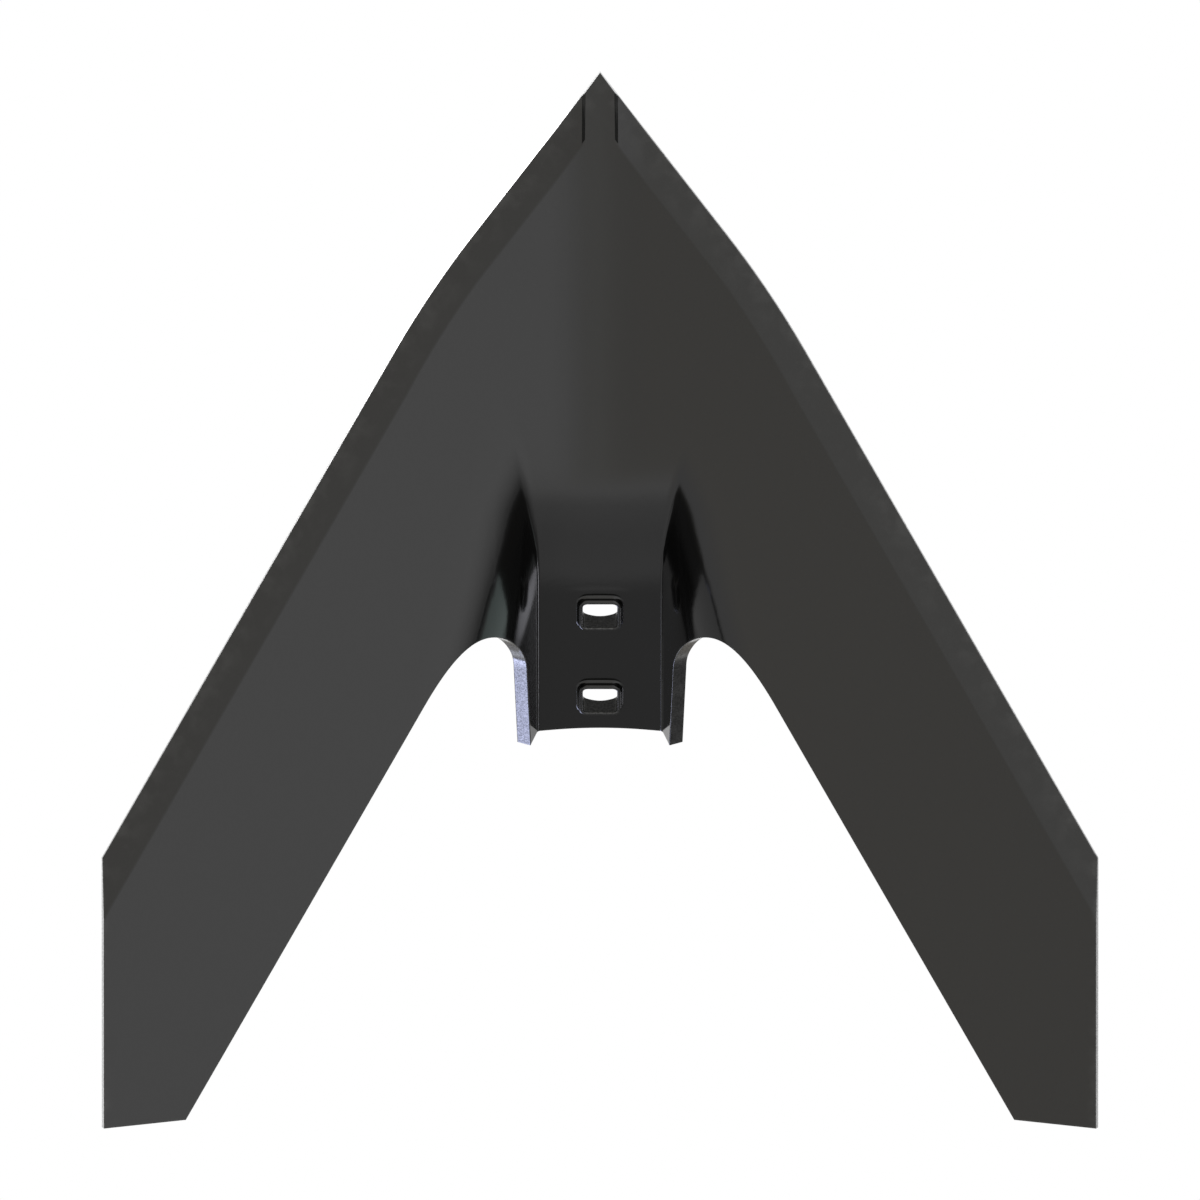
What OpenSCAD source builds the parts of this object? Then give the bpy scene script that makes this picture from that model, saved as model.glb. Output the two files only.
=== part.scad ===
// Cultivator sweep: a V-shaped ground tool, hot formed from one piece of steel plate.
// The nose points along -Y, the cutting edges lie near the ground and the stem rises behind.

/* [Plate] */
// Thickness of the steel plate
plate_t = 5.2; // [4:0.1:7]
// Overall width across the wing tips
sweep_w = 355.6; // [330:0.1:400]
// Lift of each wing, from its cutting edge up to its rear edge
lift_angle = 11; // [8:0.5:14]
// Half width of the rounded ridge along the middle of the nose
ridge_r = 17; // [10:0.5:22]

/* [Cutting edge] */
// Half angle of the nose point
nose_angle = 38; // [35:0.5:42]
// Half angle between the two wings
wing_angle = 30; // [28:0.5:33]
// Distance back from the nose point to where the nose and wing edge lines cross
nose_len = 77.9; // [65:0.1:90]
// Radius that rounds the nose edge into the wing edge
edge_r = 360; // [150:5:420]
// Width of the ground bevel under the cutting edge
bevel_w = 10.8; // [8:0.1:14]
// Steel that the bevel takes off at the cutting edge
bevel_depth = 2.7; // [1.5:0.1:3.5]
// Width of the strip at the nose point that is left at full thickness
point_w = 10.7; // [6:0.1:14]
// Slope run of the step at each side of that strip
point_step = 1.1; // [0.6:0.1:2]

/* [Wings] */
// Width of each wing, square to its cutting edge
wing_w = 72.9; // [66:0.1:80]
// Length of the outer edge at each wing tip
tip_len = 96.8; // [88:0.1:110]
// Slope of the rear edge at each wing tip
tip_slope = 6; // [0:0.5:12]
// Length along the rear edge that is blended into the notch beside the stem
rear_blend = 28.5; // [20:0.5:45]
// Fullness of that blend, higher where it keeps closer to the corner
blend_fullness = 1.08; // [0.7:0.02:2]

/* [Stem] */
// Angle of the stem above the ground
stem_angle = 47; // [42:0.5:52]
// Distance back from the nose point to the start of the stem's bend
bend_start = 116.5; // [110:0.5:120]
// Radius of the stem's bend, on its back face
bend_r = 79; // [70:1:88]
// Slope at which the bend eases off
ease_angle = 36; // [32:0.5:40]
// Radius of the bend above that slope
ease_r = 240; // [200:5:280]
// Straight length of the stem above its bend
stem_len = 66.9; // [62:0.1:80]
// Width between the two side flanges, for the shank
channel_w = 44.6; // [40:0.1:52]
// Draft of the side flanges
flange_draft = 21; // [14:0.5:22]
// Depth of the side flanges at the top of the stem
flange_top = 6.6; // [3:0.1:8]
// Depth of the side flanges at the notch
flange_low = 10; // [9:0.1:12]
// Inside radius between the stem and its flanges
corner_r = 1.2; // [0.8:0.1:4]
// Radius, on the underside, where the flanges flare into the wings
flare_r = 35; // [30:0.5:42]
// Radius of the notch between each flange and its wing
notch_r = 11.4; // [7:0.1:13]
// Distance back from the nose point to the front of the notches
notch_front = 202.1; // [196:0.1:208]

/* [Bolt holes] */
// Distance between the centres of the two bolt holes
hole_spacing = 44.45; // [40:0.05:46]
// Distance from the top of the stem to the centre of the upper hole
hole_setback = 16.7; // [14:0.1:20]
// Side of each square hole
hole_w = 12.3; // [10:0.1:14]
// Corner radius of each square hole
hole_r = 1.7; // [0.5:0.1:3]
// Width of the wall that is raised around each hole on the back face
boss_wall = 1.65; // [1:0.05:3]
// Height of that raised wall
boss_h = 2.35; // [1:0.05:4]
// Diameter of the round seat for the bolt head on the front face
seat_d = 17; // [15:0.1:22]
// Included angle of that seat
seat_angle = 115; // [90:1:130]

/* [Hidden] */
$fn = 48;
paint = [0.09, 0.09, 0.09];

// Numbers of grid cells along each stretch of the plate
flat_cells = 6;
corner_cells = 8;
flange_cells = 5;
notch_cells = 6;
blend_cells = 7;
rear_cells = 5;
tip_cells = 3;
point_cells = 2;
nose_rows = 6;
bend_rows = 16;
rear_rows = 5;
// Shares of the way from cutting edge to rear edge at which the finer rows begin and end
bend_from = 0.44;
bend_to = 0.85;
// How far out the grid lines to the stem's corner and to the inner tip corner leave the cutting edge
lip_fan = 0.9;
tip_fan = 0.9;
// Step used to measure slopes of the plate
probe = 0.02;
// Overlap that makes a cut or a joined shape pass clear through a face
through = 1;

// Plan view: x runs out from the centre line and y runs back from the nose point
half_w = sweep_w / 2;
edge_inset = plate_t * sin(lift_angle);
tip_x = half_w - edge_inset * cos(wing_angle);
nose_corner = nose_len * [tan(nose_angle), 1];
half_turn = (nose_angle - wing_angle) / 2;
mean_angle = (nose_angle + wing_angle) / 2;
edge_centre = nose_corner + edge_r / cos(half_turn) * [-cos(mean_angle), sin(mean_angle)];
tip_rear_y = nose_len + (half_w - nose_corner.x) / tan(wing_angle) + tip_len;
wall_angle = 90 - flange_draft;
notch_x = channel_w / 2 + flange_low * tan(flange_draft);
lip_x = channel_w / 2 + flange_top * tan(flange_draft);

// Distance of a plan point from the nose line and from the wing line of the cutting edge
function nose_distance(x, y) = y * sin(nose_angle) - x * cos(nose_angle);
function wing_distance(x, y) =
    (y - nose_corner.y) * sin(wing_angle) - (x - nose_corner.x) * cos(wing_angle);

// Distance of a plan point inside the whole cutting edge
function edge_distance(x, y) =
    let (from_centre = [x, y] - edge_centre)
    let (facing = atan2(-from_centre.y, from_centre.x))
    facing > nose_angle ? nose_distance(x, y)
    : facing < wing_angle ? wing_distance(x, y)
    : edge_r - norm(from_centre);

// The cutting edge of the underside: y at a given x. The edge face leans out by edge_inset,
// and straight ahead on the ridge itself, so that the upper edge comes to a sharp point.
function edge_y(x) =
    let (r = edge_r - edge_inset)
    let (across = x - edge_centre.x)
    let (lean = edge_inset * cos(nose_angle) * min(1, x / ridge_r))
    across < r * cos(nose_angle) ? (x + lean) / tan(nose_angle) + edge_inset * sin(nose_angle)
    : across > r * cos(wing_angle)
        ? nose_corner.y + (edge_inset + (x - nose_corner.x) * cos(wing_angle)) / sin(wing_angle)
    : edge_centre.y - sqrt(r * r - across * across);

// Inward direction, square to the cutting edge, at a point of it
function edge_inward(x, y) =
    [edge_distance(x + probe, y) - edge_distance(x - probe, y),
     edge_distance(x, y + probe) - edge_distance(x, y - probe)] / (2 * probe);

// Distance from the centre line, rounded over the ridge
function ridge_x(x) = abs(x) < ridge_r ? (x * x / ridge_r + ridge_r) / 2 : abs(x);

// Underside of the wings and nose, as if the stem were not raised
function wing_z(x, y) = (edge_distance(ridge_x(x), y) - edge_inset) * tan(lift_angle);

// Back face of the stem along the centre line: a bend that eases off, then a straight run
ridge_slope = atan((wing_z(0, bend_start + probe) - wing_z(0, bend_start - probe)) / (2 * probe));
ease_start = bend_start + bend_r * (sin(ease_angle) - sin(ridge_slope));
bend_end = ease_start + ease_r * (sin(stem_angle) - sin(ease_angle));
stem_end_y = bend_end + stem_len * cos(stem_angle);

function stem_slope(y) =
    y <= bend_start ? ridge_slope
    : y >= bend_end ? stem_angle
    : y >= ease_start ? asin((y - ease_start) / ease_r + sin(ease_angle))
    : asin((y - bend_start) / bend_r + sin(ridge_slope));

function stem_z(y) =
    let (slope = stem_slope(y))
    wing_z(0, bend_start)
    + bend_r * (cos(ridge_slope) - cos(min(slope, ease_angle)))
    + ease_r * (cos(ease_angle) - cos(max(slope, ease_angle)))
    + max(0, y - bend_end) * tan(stem_angle);

function stem_rise(y) = y <= bend_start ? 0 : stem_z(y) - wing_z(0, y);

// Height left at x on the formed cross-section of the stem, whose full height is h:
// flat stem, corner round, drafted flange and the flare into the wing. Where the stem is still
// low, the flare keeps its place, so the corner swings outwards and fades into the nose.
function formed_height(x, h) =
    let (rounds = corner_r + flare_r)
    let (steep = h < rounds * (1 - cos(wall_angle)) ? acos(1 - h / rounds) : wall_angle)
    let (flare_to = channel_w / 2 + h * tan(flange_draft) + flare_r * tan(wall_angle / 2))
    let (flare_from = flare_to - flare_r * sin(steep))
    let (corner_to = flare_from - (h - rounds * (1 - cos(steep))) / tan(steep))
    let (corner_from = corner_to - corner_r * sin(steep))
    x <= corner_from ? h
    : x <= corner_to ? h - corner_r + sqrt(corner_r * corner_r - pow(x - corner_from, 2))
    : x <= flare_from ? h - corner_r * (1 - cos(steep)) - (x - corner_to) * tan(steep)
    : x < flare_to ? flare_r - sqrt(flare_r * flare_r - pow(flare_to - x, 2))
    : 0;

// Underside of the whole plate, before the bevel is ground
function under_z(x, y) =
    let (rise = stem_rise(y))
    let (foreshorten = cos(stem_slope(y)))
    wing_z(x, y) + (rise <= 0 ? 0 : formed_height(abs(x), rise * foreshorten) / foreshorten);

// Upward direction, square to the plate
function plate_normal(x, y) =
    let (slope_x = (under_z(x + probe, y) - under_z(x - probe, y)) / (2 * probe))
    let (slope_y = (under_z(x, y + probe) - under_z(x, y - probe)) / (2 * probe))
    [-slope_x, -slope_y, 1] / norm([slope_x, slope_y, 1]);

// Rear outline of the underside, from the middle of the stem's top end out to the wing tip
function end_y(x) =
    stem_end_y
    + (under_z(0, stem_end_y) - under_z(x, stem_end_y)) * cos(stem_angle) * sin(stem_angle);

function rear_point(y) =
    [nose_corner.x + ((y - nose_corner.y) * sin(wing_angle) - wing_w) / cos(wing_angle), y];

function between(a, b, cells, first = 1) = [for (k = [first:cells]) a + (b - a) * k / cells];

lip_end = [lip_x, end_y(lip_x)];
notch_centre = [notch_x + notch_r, notch_front + notch_r];
notch_side = [notch_x, notch_centre.y];
notch_top = [notch_centre.x, notch_front];
blend_corner = rear_point(notch_front);
blend_end = blend_corner + rear_blend * [sin(wing_angle), cos(wing_angle)];
tip_rear = [tip_x, tip_rear_y];
rear_lead = wing_w - wing_distance(tip_rear.x, tip_rear.y);
tip_inner = tip_rear
    + rear_lead / (cos(wing_angle) - sin(wing_angle) * tan(tip_slope)) * [-1, -tan(tip_slope)];

corner_x = channel_w / 2 - 2 * corner_r;
stem_end_points = [
    for (x = concat(between(0, corner_x, flat_cells, 0), between(corner_x, lip_x, corner_cells)))
    [x, end_y(x)]
];
notch_points = [
    for (k = [1:notch_cells])
    let (a = 90 * k / notch_cells)
    notch_centre - notch_r * [cos(a), sin(a)]
];
blend_points = [
    for (t = between(0, 1, blend_cells))
    let (weights = [pow(1 - t, 2), 2 * blend_fullness * t * (1 - t), t * t])
    weights * [notch_top, blend_corner, blend_end] / (weights * [1, 1, 1])
];
rear_points = concat(
    stem_end_points,
    between(lip_end, notch_side, flange_cells),
    notch_points,
    blend_points,
    between(blend_end, tip_inner, rear_cells),
    between(tip_inner, tip_rear, tip_cells)
);

// Matching points along the cutting edge, with a close pair at the step beside the nose point
step_x = point_w / 2 + point_step;
corner_front = corner_x * lip_fan;
lip_front = lip_x * lip_fan;
blend_front = (notch_top.x + tip_x) / 2;
inner_front = blend_end.x + (tip_x - blend_end.x) * tip_fan;
front_x = concat(
    between(0, point_w / 2, point_cells, 0),
    [step_x],
    between(step_x, corner_front, flat_cells - point_cells - 1),
    between(corner_front, lip_front, corner_cells),
    between(lip_front, notch_x, flange_cells),
    between(notch_x, notch_top.x, notch_cells),
    between(notch_top.x, blend_front, blend_cells),
    between(blend_front, inner_front, rear_cells),
    between(inner_front, tip_x, tip_cells)
);

// Rows from the heel of the bevel back to the rear outline
row_shares = concat(
    [0],
    between(0, bend_from, nose_rows),
    between(bend_from, bend_to, bend_rows),
    between(bend_to, 1, rear_rows)
);

// One line of plan points from the cutting edge to the rear outline
function grid_line(k) =
    let (front = [front_x[k], edge_y(front_x[k])])
    let (run = rear_points[k] - front)
    let (square_run = run * edge_inward(front.x, front.y))
    let (heel = front + run * bevel_w / square_run)
    concat([front], [for (s = row_shares) heel + (rear_points[k] - heel) * s]);

// Lower and upper skin points over one plan point
function skin_pair(p, ground) =
    let (foot = [p.x, p.y, under_z(p.x, p.y)])
    let (up = plate_normal(p.x, p.y))
    [foot + ground * up, foot + plate_t * up];

lines = len(rear_points) - 1;
rows = len(row_shares);
half_skin = [
    for (k = [0:lines])
    let (line = grid_line(k))
    [for (i = [0:rows]) skin_pair(line[i], i == 0 && k > point_cells ? bevel_depth : 0)]
];

function side_point(k, i, layer) =
    let (p = half_skin[abs(k)][i][layer])
    [sign(k) * p.x, p.y, p.z];

skin_points = [
    for (layer = [0, 1])
    for (k = [-lines:lines])
    for (i = [0:rows])
    side_point(k, i, layer)
];

function skin_index(k, i, layer) = ((k + lines) + layer * (2 * lines + 1)) * (rows + 1) + i;

// Two triangles over four corners, split on the diagonal that keeps the two sides alike
function split(a, b, c, d, other) = other ? [[a, b, d], [b, c, d]] : [[a, b, c], [a, c, d]];

function flip(faces) = [for (f = faces) [f[2], f[1], f[0]]];

function skin_cell(k, i, layer) =
    split(skin_index(k, i, layer), skin_index(k, i + 1, layer),
          skin_index(k + 1, i + 1, layer), skin_index(k + 1, i, layer), k >= 0);

function edge_cell(k0, i0, k1, i1) =
    split(skin_index(k0, i0, 0), skin_index(k1, i1, 0),
          skin_index(k1, i1, 1), skin_index(k0, i0, 1), k0 + k1 >= 0);

skin_faces = [
    for (k = [-lines:lines - 1])
    for (i = [0:rows - 1])
    for (f = concat(flip(skin_cell(k, i, 0)), skin_cell(k, i, 1)))
    f
];
edge_faces = [
    for (k = [-lines:lines - 1])
    for (f = concat(edge_cell(k + 1, 0, k, 0), edge_cell(k, rows, k + 1, rows)))
    f
];
tip_faces = [
    for (i = [0:rows - 1])
    for (f = concat(edge_cell(-lines, i, -lines, i + 1), edge_cell(lines, i + 1, lines, i)))
    f
];

// The part stands on the ground with its middle over the origin
ground_z = min([for (p = skin_points) p.z]);
front_y = min([for (p = skin_points) p.y]);
back_y = max([for (p = skin_points) p.y]);

module formed_plate() {
    polyhedron(skin_points, concat(skin_faces, edge_faces, tip_faces), convexity = 6);
}

// A square with round corners
module rounded_square(side, r) {
    square([side, side - 2 * r], center = true);
    square([side - 2 * r, side], center = true);
    for (sx = [-1, 1], sy = [-1, 1])
        translate((side / 2 - r) * [sx, sy])
            circle(r);
}

// Places its children at each bolt hole, with z square to the stem and zero on its back face
module at_holes() {
    translate([0, stem_end_y, stem_z(stem_end_y)])
        rotate([stem_angle, 0, 0])
            for (k = [0, 1])
                translate([0, -hole_setback - k * hole_spacing, 0])
                    children();
}

module hole_boss() {
    translate([0, 0, -boss_h])
        linear_extrude(boss_h + plate_t / 2)
            rounded_square(hole_w + 2 * boss_wall, hole_r + boss_wall);
}

module bolt_hole() {
    seat_depth = seat_d / 2 / tan(seat_angle / 2);
    translate([0, 0, -boss_h - through])
        linear_extrude(boss_h + plate_t + 2 * through)
            rounded_square(hole_w, hole_r);
    translate([0, 0, plate_t - seat_depth])
        cylinder(h = seat_depth + through, r1 = 0, r2 = (seat_depth + through) * tan(seat_angle / 2));
}

module sweep() {
    color(paint)
        translate([0, -(front_y + back_y) / 2, -ground_z])
            difference() {
                union() {
                    formed_plate();
                    at_holes() hole_boss();
                }
                at_holes() bolt_hole();
            }
}

sweep();
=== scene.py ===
"""Cultivator sweep: one formed steel plate in gloss black paint, seen square on from below."""

import logging
import math
from dataclasses import dataclass
from enum import Enum
from functools import cached_property

import bmesh
import bpy
import numpy as np
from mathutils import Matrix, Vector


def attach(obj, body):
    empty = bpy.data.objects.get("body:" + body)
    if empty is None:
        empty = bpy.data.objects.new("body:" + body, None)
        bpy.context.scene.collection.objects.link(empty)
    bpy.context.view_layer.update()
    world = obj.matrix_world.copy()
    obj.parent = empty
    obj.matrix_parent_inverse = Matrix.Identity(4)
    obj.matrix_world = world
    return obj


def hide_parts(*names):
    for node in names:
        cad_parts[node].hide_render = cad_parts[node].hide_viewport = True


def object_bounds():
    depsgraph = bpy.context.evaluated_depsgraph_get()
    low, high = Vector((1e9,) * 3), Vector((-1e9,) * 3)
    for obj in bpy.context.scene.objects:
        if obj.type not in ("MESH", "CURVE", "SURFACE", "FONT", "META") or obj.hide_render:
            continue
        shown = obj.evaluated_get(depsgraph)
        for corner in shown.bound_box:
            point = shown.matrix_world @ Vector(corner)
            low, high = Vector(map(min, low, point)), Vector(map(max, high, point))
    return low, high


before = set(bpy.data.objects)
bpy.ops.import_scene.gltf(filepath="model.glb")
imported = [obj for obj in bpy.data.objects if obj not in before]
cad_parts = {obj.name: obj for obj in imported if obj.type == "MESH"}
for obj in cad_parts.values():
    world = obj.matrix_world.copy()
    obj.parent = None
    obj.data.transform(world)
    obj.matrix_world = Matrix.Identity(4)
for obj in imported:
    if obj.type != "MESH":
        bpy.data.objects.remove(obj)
CAD_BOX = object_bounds()

log = logging.getLogger("sweep")

MM = 0.001
NODE = "sweep"
BODY = "root"
RIM_ATTRIBUTE = "rim"

Grid = dict[tuple[int, int], int]
Stops = tuple[tuple[float, tuple[float, float, float]], ...]
Sockets = dict[str, bpy.types.NodeSocket]


class Finish(Enum):
    """The two finishes of the plate, by material slot."""

    SKIN = 0
    CUT = 1


def sind(angle: float) -> float:
    """Sine of an angle in degrees."""
    return math.sin(math.radians(angle))


def cosd(angle: float) -> float:
    """Cosine of an angle in degrees."""
    return math.cos(math.radians(angle))


def tand(angle: float) -> float:
    """Tangent of an angle in degrees."""
    return math.tan(math.radians(angle))


def unit(vector: np.ndarray) -> np.ndarray:
    """The vector, or each row of vectors, at length one."""
    return vector / np.linalg.norm(vector, axis=-1, keepdims=True)


def stations(stops: list[float], cells: list[int]) -> np.ndarray:
    """Spaces points evenly between each stop and the next.

    Args:
        stops: Values to pass through, in order.
        cells: Number of spaces between each stop and the next.

    Returns:
        All the points, with each stop once.
    """
    parts = [np.linspace(a, b, n + 1)[1:] for a, b, n in zip(stops, stops[1:], cells)]
    return np.concatenate([[stops[0]], *parts])


@dataclass(frozen=True)
class CuttingEdge:
    """The V of cutting edges in plan, in mm: x out from the centre line, y back from the nose."""

    nose_angle: float = 38.0
    wing_angle: float = 30.0
    nose_len: float = 77.9
    round_r: float = 360.0
    bevel_w: float = 10.8
    bevel_depth: float = 2.7
    heel_soft: float = 0.5
    point_w: float = 10.7
    point_step: float = 1.1

    @cached_property
    def corner(self) -> np.ndarray:
        """Plan point where the nose line and the wing line cross."""
        return self.nose_len * np.array([tand(self.nose_angle), 1.0])

    @cached_property
    def centre(self) -> np.ndarray:
        """Centre of the arc that rounds the nose line into the wing line."""
        mean = (self.nose_angle + self.wing_angle) / 2
        reach = self.round_r / cosd((self.nose_angle - self.wing_angle) / 2)
        return self.corner + reach * np.array([-cosd(mean), sind(mean)])

    def wing_distance(self, x: np.ndarray, y: np.ndarray) -> np.ndarray:
        """Distance of plan points inside the wing line."""
        return (y - self.corner[1]) * sind(self.wing_angle) - (x - self.corner[0]) * cosd(self.wing_angle)

    def distance(self, x: np.ndarray, y: np.ndarray) -> np.ndarray:
        """Distance of plan points inside the whole edge.

        Args:
            x: Distances out from the centre line.
            y: Distances back from the nose point.

        Returns:
            Distances in from the edge, which are negative outside it.
        """
        nose = y * sind(self.nose_angle) - x * cosd(self.nose_angle)
        out, back = x - self.centre[0], y - self.centre[1]
        facing = np.degrees(np.arctan2(-back, out))
        arc = self.round_r - np.hypot(out, back)
        inner = np.where(facing < self.wing_angle, self.wing_distance(x, y), arc)
        return np.where(facing > self.nose_angle, nose, inner)

    def y_at(self, x: np.ndarray, inset: float, ridge_r: float) -> np.ndarray:
        """The lower edge line of the leaning edge face.

        Args:
            x: Distances out from the centre line.
            inset: How far the edge face leans in.
            ridge_r: Half width of the nose ridge, over which the lean turns straight ahead.

        Returns:
            Distances back from the nose point.
        """
        r = self.round_r - inset
        across = x - self.centre[0]
        lean = inset * cosd(self.nose_angle) * np.minimum(1, x / ridge_r)
        nose = (x + lean) / tand(self.nose_angle) + inset * sind(self.nose_angle)
        out = (x - self.corner[0]) * cosd(self.wing_angle)
        wing = self.corner[1] + (inset + out) / sind(self.wing_angle)
        arc = self.centre[1] - np.sqrt(np.maximum(r * r - across * across, 0))
        inner = np.where(across > r * cosd(self.wing_angle), wing, arc)
        return np.where(across < r * cosd(self.nose_angle), nose, inner)


@dataclass(frozen=True)
class Stem:
    """The channel-shaped stem that rises behind the nose, in mm.

    Where the stem is still low, its corner is softer and its flanks lie nearer the centre line.
    Both changes are largest at the wing, and each fades out at a height of its own.
    """

    angle: float = 47.0
    bend_start: float = 116.5
    bend_r: float = 79.0
    ease_angle: float = 36.0
    ease_r: float = 240.0
    length: float = 66.9
    channel_w: float = 44.6
    draft: float = 21.0
    flange_top: float = 6.6
    flange_low: float = 10.0
    corner_r: float = 1.2
    soft_corner_r: float = 12.0
    soft_height: float = 24.0
    tuck: float = 9.0
    tuck_height: float = 13.0
    flare_r: float = 35.0
    least_turn: float = 1e-4

    @staticmethod
    def fade(height: np.ndarray, end: float) -> np.ndarray:
        """Falls smoothly from 1 at the wing to 0 at the end height."""
        return np.maximum(1 - height / end, 0) ** 2

    def section(self, x: np.ndarray, height: np.ndarray) -> np.ndarray:
        """Height left on the formed cross-section: flat, corner round, flange and flare.

        Args:
            x: Distances out from the centre line.
            height: Full height of the section.

        Returns:
            Heights above the wing.
        """
        wall = math.radians(90 - self.draft)
        corner_r = self.corner_r + self.soft_corner_r * self.fade(height, self.soft_height)
        rounds = corner_r + self.flare_r
        shallow = np.arccos(np.clip(1 - height / rounds, math.cos(wall), 1))
        steep = np.maximum(shallow, self.least_turn)
        straight = np.maximum(height - rounds * (1 - np.cos(steep)), 0)
        flare_to = self.channel_w / 2 + height * tand(self.draft) + self.flare_r * math.tan(wall / 2)
        flare_to = flare_to - self.tuck * self.fade(height, self.tuck_height)
        flare_from = flare_to - self.flare_r * np.sin(steep)
        corner_to = flare_from - straight / np.tan(steep)
        corner_from = corner_to - corner_r * np.sin(steep)
        corner = height - corner_r + np.sqrt(np.maximum(corner_r**2 - (x - corner_from) ** 2, 0))
        flange = height - corner_r * (1 - np.cos(steep)) - (x - corner_to) * np.tan(steep)
        flare = self.flare_r - np.sqrt(np.maximum(self.flare_r**2 - (flare_to - x) ** 2, 0))
        places = [x <= corner_from, x <= corner_to, x <= flare_from, x < flare_to]
        return np.select(places, [height, corner, flange, flare], 0.0)


@dataclass(frozen=True)
class Wings:
    """The rear outline of the wings and of the notches beside the stem, in mm."""

    half_w: float = 177.8
    width: float = 72.9
    tip_len: float = 96.8
    tip_slope: float = 6.0
    rear_blend: float = 28.5
    blend_fullness: float = 1.08
    notch_r: float = 11.4
    notch_front: float = 202.1


@dataclass(frozen=True)
class BoltHole:
    """One square bolt hole with its raised rim at the back and its round seat in front, in mm."""

    spacing: float = 44.45
    setback: float = 16.7
    side: float = 12.3
    corner_r: float = 1.7
    rim_w: float = 1.65
    rim_h: float = 2.35
    foot_r: float = 1.05
    crest_r: float = 0.8
    mouth_r: float = 0.45
    seat_d: float = 17.0
    seat_angle: float = 115.0
    seat_lip: float = 0.3
    window: float = 12.0
    margin: float = 1.0
    arc_steps: int = 6


@dataclass(frozen=True)
class FormedPlate:
    """The whole plate as a surface: its underside over the plan, and the thickness above it."""

    thickness: float = 5.2
    lift: float = 11.0
    ridge_r: float = 17.0
    probe: float = 0.02
    search_steps: int = 60
    edge: CuttingEdge = CuttingEdge()
    stem: Stem = Stem()
    wings: Wings = Wings()

    @cached_property
    def edge_inset(self) -> float:
        """How far the square edge face leans in below its upper line."""
        return self.thickness * sind(self.lift)

    @cached_property
    def tip_x(self) -> float:
        """Distance out to the lower line of the wing tip."""
        return self.wings.half_w - self.edge_inset * cosd(self.edge.wing_angle)

    def edge_y(self, x: np.ndarray) -> np.ndarray:
        """Lower line of the cutting edge."""
        return self.edge.y_at(x, self.edge_inset, self.ridge_r)

    def ridge_x(self, x: np.ndarray) -> np.ndarray:
        """Distance from the centre line, rounded over the ridge."""
        out = np.abs(x)
        return np.where(out < self.ridge_r, (out * out / self.ridge_r + self.ridge_r) / 2, out)

    def wing_z(self, x: np.ndarray, y: np.ndarray) -> np.ndarray:
        """Underside of nose and wings, as if the stem were not raised."""
        return (self.edge.distance(self.ridge_x(x), y) - self.edge_inset) * tand(self.lift)

    @cached_property
    def ridge_slope(self) -> float:
        """Slope of the ridge where the stem's bend begins, in radians."""
        ends = self.stem.bend_start + self.probe * np.array([-1.0, 1.0])
        low, high = self.wing_z(np.zeros(2), ends)
        return math.atan((high - low) / (2 * self.probe))

    @cached_property
    def ease_start(self) -> float:
        """Distance back to where the stem's bend eases off."""
        turn = sind(self.stem.ease_angle) - math.sin(self.ridge_slope)
        return self.stem.bend_start + self.stem.bend_r * turn

    @cached_property
    def bend_end(self) -> float:
        """Distance back to the end of the stem's bend."""
        return self.ease_start + self.stem.ease_r * (sind(self.stem.angle) - sind(self.stem.ease_angle))

    @cached_property
    def stem_top(self) -> np.ndarray:
        """Middle of the stem's top end on its back face."""
        y = self.bend_end + self.stem.length * cosd(self.stem.angle)
        return np.array([0.0, y, float(self.stem_z(np.float64(y)))])

    def stem_slope(self, y: np.ndarray) -> np.ndarray:
        """Slope of the stem's back face along the centre line.

        Args:
            y: Distances back from the nose point.

        Returns:
            Slopes in radians.
        """
        stem = self.stem
        bend = (y - stem.bend_start) / stem.bend_r + math.sin(self.ridge_slope)
        ease = (y - self.ease_start) / stem.ease_r + sind(stem.ease_angle)
        turn = np.where(y < self.ease_start, bend, ease)
        return np.arcsin(np.clip(turn, math.sin(self.ridge_slope), sind(stem.angle)))

    def stem_z(self, y: np.ndarray) -> np.ndarray:
        """Height of the stem's back face along the centre line.

        Args:
            y: Distances back from the nose point.

        Returns:
            Heights of the face.
        """
        stem, slope = self.stem, self.stem_slope(y)
        eased = math.radians(stem.ease_angle)
        start = self.wing_z(np.float64(0), np.float64(stem.bend_start))
        bend = stem.bend_r * (math.cos(self.ridge_slope) - np.cos(np.minimum(slope, eased)))
        ease = stem.ease_r * (math.cos(eased) - np.cos(np.maximum(slope, eased)))
        return start + bend + ease + np.maximum(y - self.bend_end, 0) * tand(stem.angle)

    def under_z(self, x: np.ndarray, y: np.ndarray) -> np.ndarray:
        """Underside of the whole plate, before the bevel is ground.

        Args:
            x: Distances from the centre line.
            y: Distances back from the nose point.

        Returns:
            Heights of the underside.
        """
        rise = np.where(y > self.stem.bend_start, self.stem_z(y) - self.wing_z(0 * x, y), 0)
        foreshorten = np.cos(self.stem_slope(y))
        height = self.stem.section(np.abs(x), np.maximum(rise, 0) * foreshorten)
        return self.wing_z(x, y) + height / foreshorten

    def normal(self, x: np.ndarray, y: np.ndarray) -> np.ndarray:
        """Directions square to the plate.

        Args:
            x: Distances from the centre line.
            y: Distances back from the nose point.

        Returns:
            Upward directions, one to a point.
        """
        h = self.probe
        slope_x = (self.under_z(x + h, y) - self.under_z(x - h, y)) / (2 * h)
        slope_y = (self.under_z(x, y + h) - self.under_z(x, y - h)) / (2 * h)
        return unit(np.stack([-slope_x, -slope_y, np.ones_like(x)], axis=-1))

    def along_stem(self, x: np.ndarray, y: np.ndarray) -> np.ndarray:
        """Distance up the stem's axis from its top end, which is negative below the end."""
        rise = self.under_z(x, y) - self.stem_top[2]
        return (y - self.stem_top[1]) * cosd(self.stem.angle) + rise * sind(self.stem.angle)

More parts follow.
